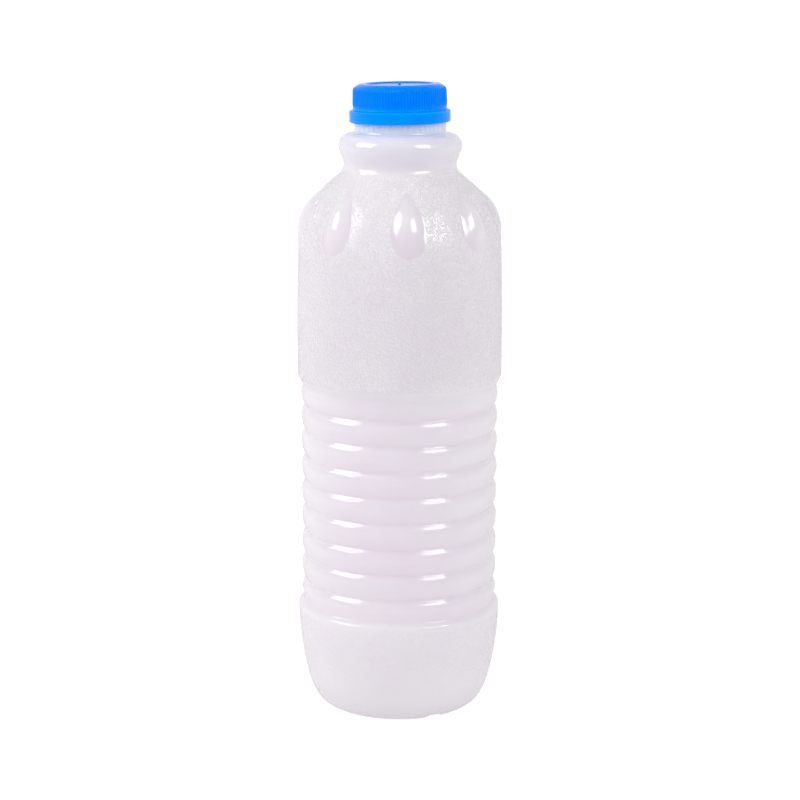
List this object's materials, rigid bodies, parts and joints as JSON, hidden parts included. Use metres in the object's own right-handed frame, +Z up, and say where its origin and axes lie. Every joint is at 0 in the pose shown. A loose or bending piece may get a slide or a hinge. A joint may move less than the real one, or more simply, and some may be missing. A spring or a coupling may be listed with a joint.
{
  "type": "yogurt bottle",
  "caption": "Tall round milky plastic bottle of drinking yogurt, shut with a knurled blue screw cap over a tamper band; ribbed grip, grained panel, raised drops round the shoulder.",
  "frame": {"origin": "centre of the foot, on the surface the bottle stands on", "axes": "+Z up along the bottle's axis, -Y the front, +X the front's right-hand side"},
  "size_m": [0.0838, 0.0838, 0.2583],
  "materials": {
    "bottle_plastic": "milky translucent polyethylene, satin, finely grained on shoulder, panel and base",
    "cap_plastic": "bright blue moulded polyethylene, smooth satin gloss"
  },
  "bodies": {
    "root": {"bottle": "bottle_plastic", "cap": "cap_plastic"}
  },
  "joints": []
}
